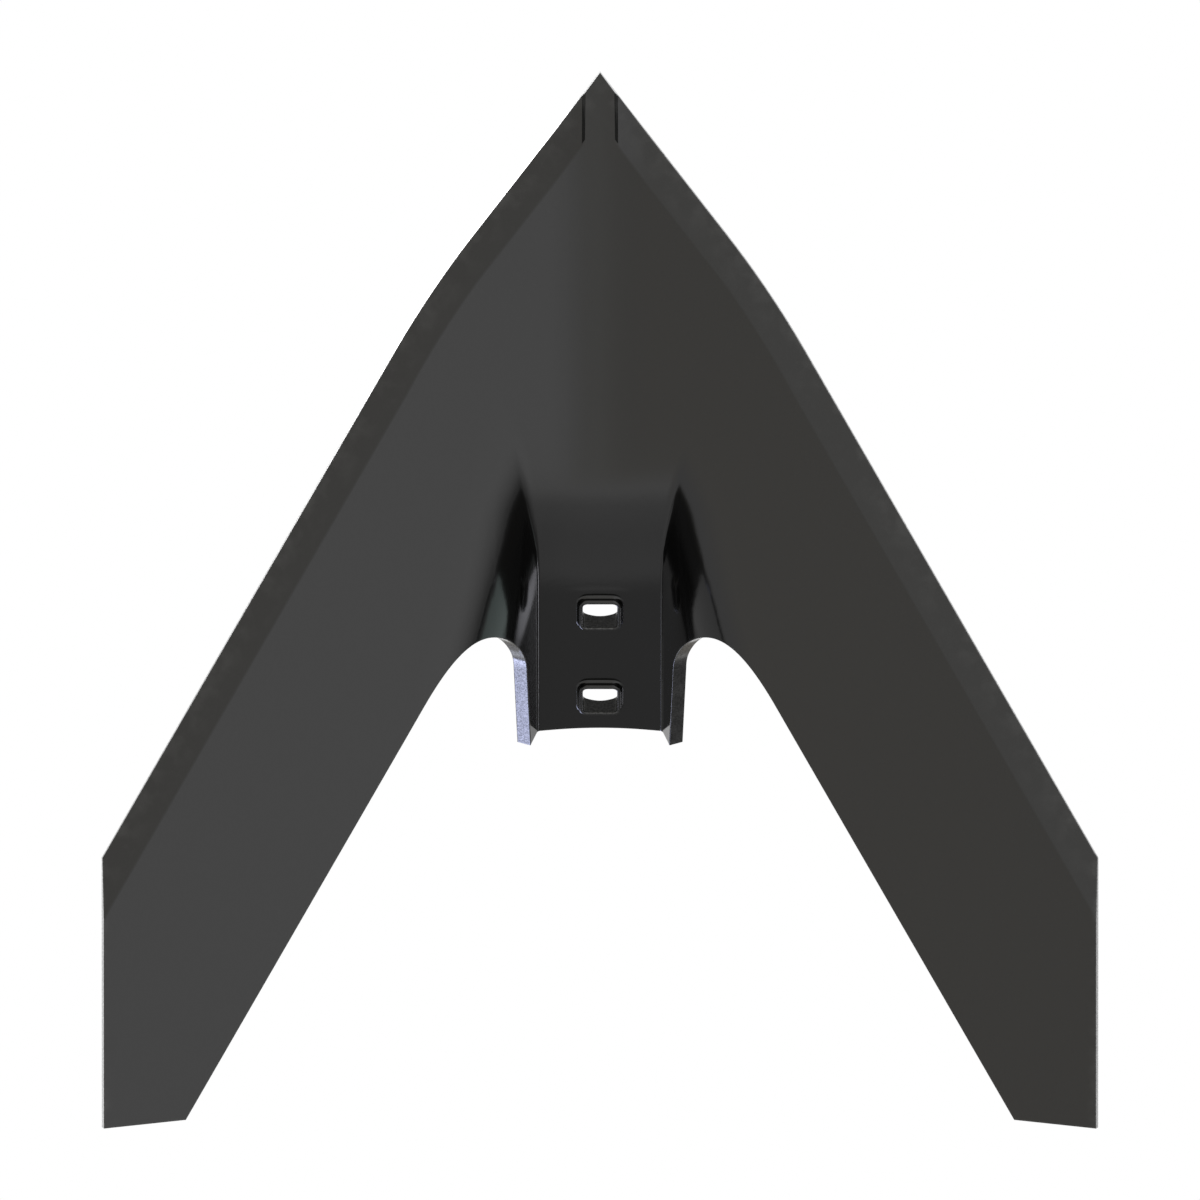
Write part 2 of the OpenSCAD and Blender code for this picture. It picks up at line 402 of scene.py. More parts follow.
    def y_along_stem(self, x: np.ndarray, s: np.ndarray) -> np.ndarray:
        """Finds the points that lie at given distances along the stem's axis.

        Args:
            x: Distances from the centre line.
            s: Distances up the stem's axis from its top end.

        Returns:
            Distances back from the nose point.
        """
        y = self.stem_top[1] + s * cosd(self.stem.angle) + 0 * x
        for _ in range(self.search_steps):
            y = y - (self.along_stem(x, y) - s) * cosd(self.stem.angle)
        return y


@dataclass(frozen=True)
class PlanGrid:
    """Mesh lines over one half of the plate's plan, from the cutting edge to the rear outline.

    The stem's lines run straight back, so that its rows frame the two bolt holes. The stem's
    side lines end in the middle of the notch and go on along the flange, and the wings' lines
    fan out from there to the wing tip.
    """

    plate: FormedPlate
    hole: BoltHole
    point_cells: int = 3
    window_cells: int = 5
    flat_cells: int = 4
    corner_cells: int = 10
    flange_cells: int = 14
    notch_cells: int = 12
    blend_cells: int = 20
    rear_cells: int = 20
    tip_cells: int = 8
    nose_rows: int = 20
    bend_rows: int = 46
    gap_rows: int = 5
    hole_rows: int = 9
    tip_fan: float = 0.9
    notch_middle: float = 45.0
    arc_samples: int = 40
    line_samples: int = 60

    @cached_property
    def stem_x(self) -> np.ndarray:
        """Lines over the stem, from the centre line to the foot of the flange."""
        stem, edge = self.plate.stem, self.plate.edge
        wall = 90 - stem.draft
        corner_from = stem.channel_w / 2 - stem.corner_r * tand(wall / 2)
        corner_to = corner_from + stem.corner_r * sind(wall)
        point = edge.point_w / 2
        stops = [0, point, point + edge.point_step, self.hole.window, corner_from, corner_to]
        cells = [self.point_cells, 1, self.window_cells, self.flat_cells, self.corner_cells]
        return stations(stops, cells)

    @cached_property
    def window_line(self) -> int:
        """Index of the line along the side of the bolt holes."""
        return self.point_cells + 1 + self.window_cells

    @cached_property
    def flange_line(self) -> int:
        """Index of the line along the edge of the flange."""
        return len(self.stem_x) - 1 + self.flange_cells

    @cached_property
    def last_line(self) -> int:
        """Index of the line along the wing tip."""
        return self.flange_line + len(self.rear_points)

    def notch_point(self, turn: np.ndarray) -> np.ndarray:
        """Plan points on the round of the notch.

        Args:
            turn: Turns in degrees, from 0 at the flange to 90 at the front of the notch.

        Returns:
            Points, one row to a turn.
        """
        stem, wings = self.plate.stem, self.plate.wings
        side = stem.channel_w / 2 + stem.flange_low * tand(stem.draft)
        centre = np.array([side, wings.notch_front]) + wings.notch_r
        angle = np.radians(turn)
        return centre - wings.notch_r * np.stack([np.cos(angle), np.sin(angle)], axis=-1)

    @cached_property
    def flange_edge(self) -> tuple[np.ndarray, np.ndarray]:
        """The edge from the middle of the notch to the top of the flange: s and x of its points."""
        stem, plate = self.plate.stem, self.plate
        arc = self.notch_point(np.linspace(self.notch_middle, 0, self.arc_samples))
        lip_x = np.array([stem.channel_w / 2 + stem.flange_top * tand(stem.draft)])
        lip = np.append(lip_x, plate.y_along_stem(lip_x, np.zeros(1)))
        line = arc[-1] + (lip - arc[-1]) * np.linspace(0, 1, self.line_samples)[1:, None]
        edge = np.concatenate([arc, line])
        return plate.along_stem(edge[:, 0], edge[:, 1]), edge[:, 0]

    @cached_property
    def rear_points(self) -> np.ndarray:
        """Rear outline of the wing, from the middle of the notch to the wing tip."""
        edge, wings = self.plate.edge, self.plate.wings
        along = np.array([sind(edge.wing_angle), cosd(edge.wing_angle)])
        notch = self.notch_point(np.linspace(self.notch_middle, 90, self.notch_cells + 1)[1:])
        run = (wings.notch_front - edge.corner[1]) * sind(edge.wing_angle) - wings.width
        corner = np.array([edge.corner[0] + run / cosd(edge.wing_angle), wings.notch_front])
        blend_end = corner + wings.rear_blend * along
        t = np.linspace(0, 1, self.blend_cells + 1)[1:, None]
        weights = np.hstack([(1 - t) ** 2, 2 * wings.blend_fullness * t * (1 - t), t * t])
        blend = weights @ np.array([notch[-1], corner, blend_end]) / weights.sum(axis=1, keepdims=True)
        tip_y = edge.corner[1] + (wings.half_w - edge.corner[0]) / tand(edge.wing_angle) + wings.tip_len
        tip = np.array([self.plate.tip_x, tip_y])
        lead = wings.width - edge.wing_distance(tip[0], tip[1])
        lean = cosd(edge.wing_angle) - sind(edge.wing_angle) * tand(wings.tip_slope)
        inner = tip - lead / lean * np.array([1.0, tand(wings.tip_slope)])
        rear = blend_end + (inner - blend_end) * np.linspace(0, 1, self.rear_cells + 1)[1:, None]
        tip_edge = inner + (tip - inner) * np.linspace(0, 1, self.tip_cells + 1)[1:, None]
        return np.concatenate([notch, blend, rear, tip_edge])

    @cached_property
    def front_x(self) -> np.ndarray:
        """Where each of the wing's lines leaves the cutting edge."""
        start = self.notch_point(np.array(self.notch_middle))[0]
        notch_x = self.rear_points[self.notch_cells - 1, 0]
        blend_x = self.rear_points[self.notch_cells + self.blend_cells - 1, 0]
        tip_x = self.plate.tip_x
        stops = [start, notch_x, (notch_x + tip_x) / 2, blend_x + (tip_x - blend_x) * self.tip_fan, tip_x]
        return stations(stops, [self.notch_cells, self.blend_cells, self.rear_cells, self.tip_cells])[1:]

    @cached_property
    def heel_offsets(self) -> np.ndarray:
        """Distances from the cutting edge of the rows on and just past the bevel."""
        edge = self.plate.edge
        return np.array([0, edge.bevel_w - edge.heel_soft, edge.bevel_w, edge.bevel_w + edge.heel_soft])

    @cached_property
    def notch_s(self) -> float:
        """Distance along the stem of the row that meets the middle of the notch."""
        return float(self.flange_edge[0][0])

    @cached_property
    def low_rows(self) -> np.ndarray:
        """Rows from the start of the bend to the notch, as y on the centre line."""
        plate, hole = self.plate, self.hole
        top, run = plate.stem_top[1], cosd(plate.stem.angle)
        window = -hole.setback - hole.spacing - hole.window
        stops = [plate.stem.bend_start, top + window * run, top + self.notch_s * run]
        return stations(stops, [self.bend_rows, self.gap_rows])

    @cached_property
    def high_rows(self) -> np.ndarray:
        """Rows from the notch to the top of the stem, as distances along the stem."""
        hole = self.hole
        upper = -hole.setback
        lower = upper - hole.spacing
        stops = [self.notch_s, lower + hole.window, upper - hole.window, upper + hole.window, 0.0]
        rows = self.hole_rows
        return stations(stops, [2 * rows - self.gap_rows, rows, 2 * rows, self.gap_rows])[1:]

    @cached_property
    def notch_row(self) -> int:
        """Index of the last row that reaches the wings."""
        return len(self.heel_offsets) - 1 + self.nose_rows + len(self.low_rows) - 1

    @cached_property
    def last_row(self) -> int:
        """Index of the row along the top of the stem."""
        return self.notch_row + len(self.high_rows)

    @cached_property
    def window_rows(self) -> list[tuple[int, int]]:
        """First and last row beside each bolt hole, the lower hole first."""
        low = self.notch_row - self.gap_rows
        high = self.notch_row + 2 * self.hole_rows - self.gap_rows
        return [(low, high), (high + self.hole_rows, high + 3 * self.hole_rows)]

    def inward(self, x: np.ndarray, y: np.ndarray) -> np.ndarray:
        """Directions into the plate, square to the cutting edge.

        Args:
            x: Distances out from the centre line.
            y: Distances back from the nose point.

        Returns:
            Plan directions, one row to a point.
        """
        distance, h = self.plate.edge.distance, self.plate.probe
        across = distance(x + h, y) - distance(x - h, y)
        back = distance(x, y + h) - distance(x, y - h)
        return np.stack([across, back], axis=-1) / (2 * h)

    def stem_lines(self) -> np.ndarray:
        """Plan points of the lines up to the flange's edge.

        Returns:
            Points, one row of the array to a line.
        """
        plate = self.plate
        foot = self.stem_x[-1]
        shares = np.linspace(0, 1, self.flange_cells + 1)[1:]
        notch_x = self.flange_edge[1][0]
        low_x = np.concatenate([self.stem_x, foot + (notch_x - foot) * shares])
        front = plate.edge_y(low_x)
        heel = front[:, None] + self.heel_offsets / self.inward(low_x, front)[:, 1:]
        knee = plate.stem.bend_start
        nose_shares = np.linspace(0, 1, self.nose_rows + 1)[1:]
        nose = heel[:, -1:] + (knee - heel[:, -1:]) * nose_shares
        notch_y = plate.y_along_stem(low_x, np.full_like(low_x, self.notch_s))
        bend_shares = (self.low_rows[1:] - knee) / (self.low_rows[-1] - knee)
        bend = knee + (notch_y[:, None] - knee) * bend_shares
        low_y = np.concatenate([heel, nose, bend], axis=1)
        edge_x = np.interp(self.high_rows, *self.flange_edge)
        flat = np.repeat(self.stem_x[:, None], len(self.high_rows), axis=1)
        high_x = np.concatenate([flat, foot + (edge_x - foot) * shares[:, None]])
        high_y = plate.y_along_stem(high_x, np.broadcast_to(self.high_rows, high_x.shape))
        x = np.concatenate([np.repeat(low_x[:, None], low_y.shape[1], axis=1), high_x], axis=1)
        return np.stack([x, np.concatenate([low_y, high_y], axis=1)], axis=-1)

    def wing_lines(self, side_line: np.ndarray) -> np.ndarray:
        """Plan points of the lines over the wing.

        Args:
            side_line: The stem's last line, whose rows the wing's lines keep.

        Returns:
            Points, one row of the array to a line.
        """
        front = np.stack([self.front_x, self.plate.edge_y(self.front_x)], axis=-1)
        run = self.rear_points - front
        square_run = np.sum(run * self.inward(front[:, 0], front[:, 1]), axis=-1)
        steps = self.heel_offsets / square_run[:, None]
        heel = front[:, None] + run[:, None] * steps[:, :, None]
        rows = side_line[len(self.heel_offsets) - 1 : self.notch_row + 1, 1]
        shares = ((rows - rows[0]) / (rows[-1] - rows[0]))[1:, None]
        rest = heel[:, -1:] + (self.rear_points[:, None] - heel[:, -1:]) * shares
        return np.concatenate([heel, rest], axis=1)


class MeshDraft:
    """Points and faces of one mesh while it is put together, in mm."""

    SHARP_ANGLE = 38.0

    def __init__(self) -> None:
        """Starts with an empty mesh."""
        self.points: list[np.ndarray] = []
        self.rim: list[float] = []
        self.faces: list[tuple[int, ...]] = []
        self.finishes: list[int] = []

    def add(self, point: np.ndarray, rim: float = 0.0) -> int:
        """Adds a point.

        Args:
            point: Its place.
            rim: 1 on a rounded edge of the plate, and otherwise 0.

        Returns:
            The point's index.
        """
        self.points.append(np.asarray(point, dtype=float))
        self.rim.append(rim)
        return len(self.points) - 1

    def quad(self, corners: tuple[int, ...], finish: Finish) -> None:
        """Adds one face in a finish."""
        self.faces.append(corners)
        self.finishes.append(finish.value)

    def band(self, first: list[int], second: list[int], finish: Finish) -> None:
        """Joins two closed rings of points with a band of faces.

        Args:
            first: Points of one ring, in order.
            second: As many points of the other ring.
            finish: Finish of the band.
        """
        count = len(first)
        for j in range(count):
            after = (j + 1) % count
            self.quad((first[j], first[after], second[after], second[j]), finish)

    def to_object(self, name: str, origin: np.ndarray) -> bpy.types.Object:
        """Makes the smooth shaded object.

        Args:
            name: Name of the object.
            origin: Point of the draft, in mm, that lies at the frame's origin.

        Returns:
            The new object, linked to the scene.
        """
        mesh = bpy.data.meshes.new(name)
        mesh.from_pydata(((np.array(self.points) - origin) * MM).tolist(), [], self.faces)
        mesh.polygons.foreach_set("material_index", self.finishes)
        rim = mesh.attributes.new(RIM_ATTRIBUTE, "FLOAT", "POINT")
        rim.data.foreach_set("value", self.rim)
        body = bmesh.new()
        body.from_mesh(mesh)
        bmesh.ops.recalc_face_normals(body, faces=body.faces)
        body.to_mesh(mesh)
        body.free()
        mesh.shade_smooth()
        mesh.set_sharp_from_angle(angle=math.radians(self.SHARP_ANGLE))
        piece = bpy.data.objects.new(name, mesh)
        bpy.context.scene.collection.objects.link(piece)
        weighted = piece.modifiers.new("flat faces keep their shading", "WEIGHTED_NORMAL")
        weighted.keep_sharp = True
        return piece


@dataclass(frozen=True)
class Sweep:
    """The whole sweep: formed plate, rounded edges and bolt holes."""

    plate: FormedPlate = FormedPlate()
    hole: BoltHole = BoltHole()
    edge_round: float = 0.28
    round_steps: int = 3

    @cached_property
    def grid(self) -> PlanGrid:
        """The mesh lines over the plate's plan."""
        return PlanGrid(self.plate, self.hole)

    @cached_property
    def origin(self) -> np.ndarray:
        """The frame's origin in the plan's own coordinates."""
        nose = self.plate.edge_y(np.zeros(1))
        ground = float(self.plate.wing_z(np.zeros(1), nose)[0])
        return np.array([0.0, -CAD_BOX[0].y / MM, ground])

    def half_skins(self) -> dict[tuple[int, int], tuple[np.ndarray, np.ndarray]]:
        """Shapes one half of both skins.

        Returns:
            Lower and upper point, by line and row.
        """
        grid, edge = self.grid, self.plate.edge
        stem = grid.stem_lines()
        lines = [*stem, *grid.wing_lines(stem[-1])]
        ground = np.clip(1 - grid.heel_offsets / edge.bevel_w, 0, 1) * edge.bevel_depth
        skins = {}
        for k, line in enumerate(lines):
            x, y = line[:, 0], line[:, 1]
            foot = np.stack([x, y, self.plate.under_z(x, y)], axis=-1)
            up = self.plate.normal(x, y)
            taken = np.zeros(len(line))
            if k > grid.point_cells:
                taken[: len(ground)] = ground
            low = foot + up * taken[:, None]
            high = foot + up * self.plate.thickness
            skins.update({(k, i): (low[i], high[i]) for i in range(len(line))})
        return skins

    def outline(self) -> list[tuple[int, int]]:
        """Goes around the plate's outline.

        Returns:
            Lines and rows, anticlockwise from above.
        """
        last, flange = self.grid.last_line, self.grid.flange_line
        notch, top = self.grid.notch_row, self.grid.last_row
        half = [(k, 0) for k in range(1, last + 1)]
        half += [(last, i) for i in range(1, notch + 1)]
        half += [(k, notch) for k in range(last - 1, flange - 1, -1)]
        half += [(flange, i) for i in range(notch + 1, top + 1)]
        half += [(k, top) for k in range(flange - 1, 0, -1)]
        mirrored = [(-k, i) for k, i in reversed(half)]
        return [(0, 0), *half, (0, top), *mirrored]

    def add_skins(self, draft: MeshDraft) -> tuple[Grid, Grid]:
        """Adds both skins, with the outline drawn in by the edge round and the holes left open.

        Args:
            draft: The mesh.

        Returns:
            Points of the lower and of the upper skin.
        """
        half = self.half_skins()
        flip = np.array([-1.0, 1.0, 1.0])
        whole = {(s * k, i): tuple(p * (flip if s < 0 else 1) for p in pair)
                 for (k, i), pair in half.items() for s in (1, -1)}
        loop = self.outline()
        lower = np.array([whole[key][0] for key in loop])
        upper = np.array([whole[key][1] for key in loop])
        middle = (lower + upper) / 2
        up = unit(upper - lower)
        outward = unit(np.cross(np.roll(middle, -1, axis=0) - np.roll(middle, 1, axis=0), up))
        inset = {key: self.edge_round * outward[j] for j, key in enumerate(loop)}
        rim = {key: 1.0 for key in loop}
        skins = []
        for layer in (0, 1):
            skins.append({key: draft.add(pair[layer] - inset.get(key, 0), rim.get(key, 0.0))
                          for key, pair in whole.items()})
        for skin in skins:
            self.add_cells(draft, skin)
        self.add_edge(draft, skins, loop, (lower, upper, up, outward))
        return skins[0], skins[1]

    def add_cells(self, draft: MeshDraft, skin: Grid) -> None:
        """Adds the faces of one skin.

        Args:
            draft: The mesh.
            skin: The skin's points.
        """
        grid = self.grid
        for k in range(-grid.last_line, grid.last_line):
            rows = grid.last_row if -grid.flange_line <= k < grid.flange_line else grid.notch_row
            beside = -grid.window_line <= k < grid.window_line
            for i in range(rows):
                if beside and any(first <= i < last for first, last in grid.window_rows):
                    continue
                corners = (skin[k, i], skin[k + 1, i], skin[k + 1, i + 1], skin[k, i + 1])
                draft.quad(corners, Finish.SKIN)

    def add_edge(self, draft: MeshDraft, skins: list[Grid], loop: list[tuple[int, int]],
                 shape: tuple[np.ndarray, ...]) -> None:
        """Adds the edge face around the outline, with a small round along both of its lines.

        Args:
            draft: The mesh.
            skins: Lower and upper skin points.
            loop: Lines and rows around the outline.
            shape: Lower points, upper points, upward and outward directions along the loop.
        """
        lower, upper, up, outward = shape
        r = self.edge_round
        turns = np.linspace(0, math.pi / 2, self.round_steps + 1)
        rings = [[skins[0][key] for key in loop]]
        for turn in turns[1:]:
            drop = outward * (math.sin(turn) - 1) + up * (1 - math.cos(turn))
            rings.append([draft.add(p, 1.0) for p in lower + r * drop])
        for turn in turns[:-1]:
            drop = outward * (math.cos(turn) - 1) + up * (math.sin(turn) - 1)
            rings.append([draft.add(p, 1.0) for p in upper + r * drop])
        rings.append([skins[1][key] for key in loop])
        for first, second in zip(rings, rings[1:]):
            draft.band(first, second, Finish.CUT)

    def window_loop(self, first: int, last: int) -> list[tuple[int, int]]:
        """Goes around the place of one bolt hole.

        Args:
            first: Row below the hole.
            last: Row above it.

        Returns:
            Lines and rows, anticlockwise from above.
        """
        side = self.grid.window_line
        loop = [(k, first) for k in range(-side, side)]
        loop += [(side, i) for i in range(first, last)]
        loop += [(k, last) for k in range(side, -side, -1)]
        return loop + [(-side, i) for i in range(last, first, -1)]

    def crown(self, x: np.ndarray) -> np.ndarray:
        """How far the back face stands back beside the centre line, square to the stem."""
        drop = (self.plate.ridge_x(x) - self.plate.ridge_x(np.zeros(1))) * tand(self.plate.lift)
        return drop * cosd(self.plate.edge.wing_angle) * cosd(self.plate.stem.angle)

    def hole_profile(self) -> list[tuple[float, float, float, Finish]]:
        """Rings of the raised rim and the hole's wall, from the back face in.

        Returns:
            For each ring its half side, corner radius and height off the back face, and the
            finish of the band that ends there.
        """
        hole = self.hole
        inner = hole.side / 2
        outer = inner + hole.rim_w
        turns = np.linspace(0, math.pi / 2, hole.arc_steps + 1)
        rings = [(hole.window - hole.margin, hole.corner_r + 2 * hole.rim_w, 0.0, Finish.SKIN)]
        for turn in turns:
            out = hole.foot_r * (1 - math.sin(turn))
            height = hole.foot_r * (1 - math.cos(turn))
            rings.append((outer + out, hole.corner_r + hole.rim_w + out, height, Finish.SKIN))
        for turn in turns:
            out = hole.crest_r * (math.cos(turn) - 1)
            height = hole.rim_h + hole.crest_r * (math.sin(turn) - 1)
            rings.append((outer + out, hole.corner_r + hole.rim_w + out, height, Finish.SKIN))
        for turn in turns:
            out = hole.mouth_r * (1 - math.sin(turn))
            height = hole.rim_h - hole.mouth_r * (1 - math.cos(turn))
            rings.append((inner + out, hole.corner_r + out, height, Finish.CUT))
        return rings

    def add_hole(self, draft: MeshDraft, skins: tuple[Grid, Grid], order: int) -> None:
        """Adds one bolt hole with its raised rim and its seat.

        Args:
            draft: The mesh.
            skins: Lower and upper skin points.
            order: 0 for the lower hole and 1 for the upper one.
        """
        hole, plate = self.hole, self.plate
        axis = np.array([0.0, cosd(plate.stem.angle), sind(plate.stem.angle)])
        back = np.array([0.0, sind(plate.stem.angle), -cosd(plate.stem.angle)])
        centre = plate.stem_top - (hole.setback + (1 - order) * hole.spacing) * axis
        loop = self.window_loop(*self.grid.window_rows[order])
        rings = [[skin[key] for key in loop] for skin in skins]
        window = np.array([draft.points[j] for j in rings[0]]) - centre
        square = np.stack([window[:, 0], window @ axis], axis=-1)
        square = square / np.max(np.abs(square), axis=-1, keepdims=True)

        def place(flat: np.ndarray, height: np.ndarray) -> list[int]:
            """Adds a ring.

            Args:
                flat: Places on the stem's back face, across it and up it.
                height: Heights off the back face.

            Returns:
                The ring's points.
            """
            points = centre + np.outer(flat[:, 1], axis) + np.outer(height, back)
            points[:, 0] = flat[:, 0]
            return [draft.add(p) for p in points]

        def rounded(half: float, r: float) -> np.ndarray:
            """Places around a square with round corners."""
            core = np.clip(half * square, r - half, half - r)
            return core + r * unit(half * square - core)

        current = rings[0]
        for half, r, height, finish in self.hole_profile():
            flat = rounded(half, r)
            settle = self.crown(flat[:, 0]) * max(0.0, 1 - height / hole.foot_r)
            ring = place(flat, height + settle)
            draft.band(current, ring, finish)
            current = ring
        spread = tand(hole.seat_angle / 2)
        apex = plate.thickness - hole.seat_d / 2 / spread
        flats = [rounded(hole.side / 2, hole.corner_r)]
        flats += [unit(square) * (hole.seat_d / 2 + out) for out in (-hole.seat_lip, 0, hole.seat_lip)]
        flats += [rounded(hole.window - hole.margin, hole.seat_d / 3)]
        for flat, finish in zip(flats, [Finish.CUT] + [Finish.SKIN] * 4):
            seat = -apex - np.linalg.norm(flat, axis=-1) / spread
            face = self.crown(flat[:, 0]) - plate.thickness
            ring = place(flat, np.maximum(seat, face))
            draft.band(current, ring, finish)
            current = ring
        draft.band(current, rings[1], Finish.SKIN)

    def build(self) -> bpy.types.Object:
        """Builds the mesh.

        Returns:
            Its object.
        """
        draft = MeshDraft()
        skins = self.add_skins(draft)
        for order in (0, 1):
            self.add_hole(draft, skins, order)
        return draft.to_object("formed_sweep", self.origin)

    def dress(self, piece: bpy.types.Object, finishes: dict[Finish, "PaintFinish"]) -> None:
        """Gives the piece its two finishes, in the order of its material slots."""
        for finish in Finish:
            piece.data.materials.append(finishes[finish].material())


class NodeTree:
    """Short ways to add and join shader nodes."""

    def __init__(self, tree: bpy.types.NodeTree) -> None:
        """Works on one node tree."""
        self.tree = tree

    def add(self, kind: str, values: dict[str, object] | None = None, **options: object) -> bpy.types.Node:
        """Adds a node.

        Args:
            kind: The node's type, such as ShaderNodeMath.
            values: Input names or numbers, each with a value or with an output to link from.
            options: The node's own settings.

        Returns:
            The new node.
        """
        node = self.tree.nodes.new(kind)
        for name, value in options.items():
            setattr(node, name, value)
        for name, value in (values or {}).items():
            socket = node.inputs[name]
            if isinstance(value, bpy.types.NodeSocket):
                self.tree.links.new(value, socket)
            else:
                socket.default_value = value
        return node

    def math(self, operation: str, *terms: object) -> bpy.types.NodeSocket:
        """Adds a Math node and returns its output."""
        return self.add("ShaderNodeMath", dict(enumerate(terms)), operation=operation).outputs[0]

    def noise(self, scale: object, detail: float) -> bpy.types.NodeSocket:
        """Adds noise over the object's own coordinates.

        Args:
            scale: How fine the noise is, or an output that gives it.
            detail: How many finer layers it has.

        Returns:
            The noise's value.
        """
        place = self.add("ShaderNodeTexCoord").outputs["Object"]
        values = {"Vector": place, "Scale": scale, "Detail": detail}
        return self.add("ShaderNodeTexNoise", values).outputs["Fac"]

    def stretch(self, value: bpy.types.NodeSocket, ends: tuple[float, float], top: object = 1.0,
                **options: object) -> bpy.types.NodeSocket:
        """Stretches a range of values to start at 0.

        Args:
            value: The output to stretch.
            ends: First and last value of the range.
            top: What the last value becomes, or an output that gives it.
            options: Other settings of the Map Range node.

        Returns:
            The stretched value.
        """
        values = {"Value": value, "From Min": ends[0], "From Max": ends[1], "To Max": top}
        return self.add("ShaderNodeMapRange", values, **options).outputs["Result"]

    def mix(self, share: bpy.types.NodeSocket, low: object, high: object) -> bpy.types.NodeSocket:
        """Mixes two colours by the share of the second one and returns the result."""
        values = {"Factor": share, "A": low, "B": high}
        return self.add("ShaderNodeMix", values, data_type="RGBA").outputs["Result"]


class EffectGroup:
    """A shader node group, built once and placed in each finish with its own values."""

    NAME: str
    INPUTS: dict[str, str]
    OUTPUTS: dict[str, str]

    @classmethod
    def group(cls) -> bpy.types.NodeTree:
        """Returns the group, made on its first use."""
        return bpy.data.node_groups.get(cls.NAME) or cls.build()

    @classmethod
    def build(cls) -> bpy.types.NodeTree:
        """Makes the group.

        Returns:
            Its node tree.
        """
        tree = bpy.data.node_groups.new(cls.NAME, "ShaderNodeTree")
        for side, sockets in (("INPUT", cls.INPUTS), ("OUTPUT", cls.OUTPUTS)):
            for name, kind in sockets.items():
                tree.interface.new_socket(name, in_out=side, socket_type=f"NodeSocket{kind}")
        nodes = NodeTree(tree)
        given = dict(nodes.add("NodeGroupInput").outputs.items())
        nodes.add("NodeGroupOutput", cls.effect(nodes, given))
        return tree

    @classmethod
    def effect(cls, nodes: NodeTree, given: Sockets) -> Sockets:
        """Adds the nodes of the effect.

        Args:
            nodes: The group's nodes.
            given: The group's inputs by name.

        Returns:
            What feeds each of the group's outputs, by name.
        """
        raise NotImplementedError


class PaintFilm(EffectGroup):
    """A sprayed paint film: faint dust, orange peel, and changes of roughness and gloss."""

    NAME = "paint film"
    INPUTS = {
        "Paint": "Color", "Dust": "Color", "Dust Amount": "Float", "Roughness": "Float",
        "Roughness Spread": "Float", "Grain Scale": "Float", "Grain Share": "Float",
        "Gloss Spread": "Float",
    }
    OUTPUTS = {"Color": "Color", "Roughness": "Float", "Height": "Float", "Gloss": "Float"}
    CLOUD_SCALE = 14.0
    SPECK_SCALE = 900.0
    PEEL_SCALE = 420.0
    GLOSS_RANGE = (0.36, 0.64)

    @classmethod
    def effect(cls, nodes: NodeTree, given: Sockets) -> Sockets:
        """Adds the nodes of the film.

        Args:
            nodes: The group's nodes.
            given: The group's inputs by name.

        Returns:
            What feeds each of the group's outputs, by name.
        """
        cloud = nodes.noise(cls.CLOUD_SCALE, 4.0)
        speck = nodes.noise(cls.SPECK_SCALE, 2.0)
        peel = nodes.noise(cls.PEEL_SCALE, 1.0)
        grain = nodes.noise(given["Grain Scale"], 2.0)
        dust = nodes.math("MULTIPLY", nodes.math("MULTIPLY", cloud, speck), given["Dust Amount"])
        swing = nodes.math("SUBTRACT", cloud, 0.5)
        height = nodes.add("ShaderNodeMix", {"Factor": given["Grain Share"], "A": peel, "B": grain})
        return {
            "Color": nodes.mix(dust, given["Paint"], given["Dust"]),
            "Roughness": nodes.math("MULTIPLY_ADD", swing, given["Roughness Spread"], given["Roughness"]),
            "Height": height.outputs["Result"],
            "Gloss": nodes.stretch(grain, cls.GLOSS_RANGE, given["Gloss Spread"]),
        }


class EdgeWearAndHighlight(EffectGroup):
    """Lighter colour along the plate's rounded edges: paint wear in patches, and partly a painted
    highlight.
    """

    NAME = "edge wear and painted highlight"
    INPUTS = {"Color": "Color", "Wear And Highlight Color": "Color", "Amount": "Float"}
    OUTPUTS = {"Color": "Color"}
    PATCH_SCALE = 160.0
    WEAR_AND_HIGHLIGHT_RANGE = (0.45, 0.7)

    @classmethod
    def effect(cls, nodes: NodeTree, given: Sockets) -> Sockets:
        """Adds the nodes of the lighter edges, part wear and part painted highlight.

        Args:
            nodes: The group's nodes.
            given: The group's inputs by name.

        Returns:
            What feeds the group's output, by name.
        """
        rim = nodes.add("ShaderNodeAttribute", attribute_name=RIM_ATTRIBUTE).outputs["Fac"]
        wear_and_highlight_patches = nodes.stretch(nodes.noise(cls.PATCH_SCALE, 5.0), cls.WEAR_AND_HIGHLIGHT_RANGE)
        # Painted highlight and wear: the rounded edges get a lighter colour in patches.
        share = nodes.math("MULTIPLY", nodes.math("MULTIPLY", rim, wear_and_highlight_patches), given["Amount"])
        return {"Color": nodes.mix(share, given["Color"], given["Wear And Highlight Color"])}


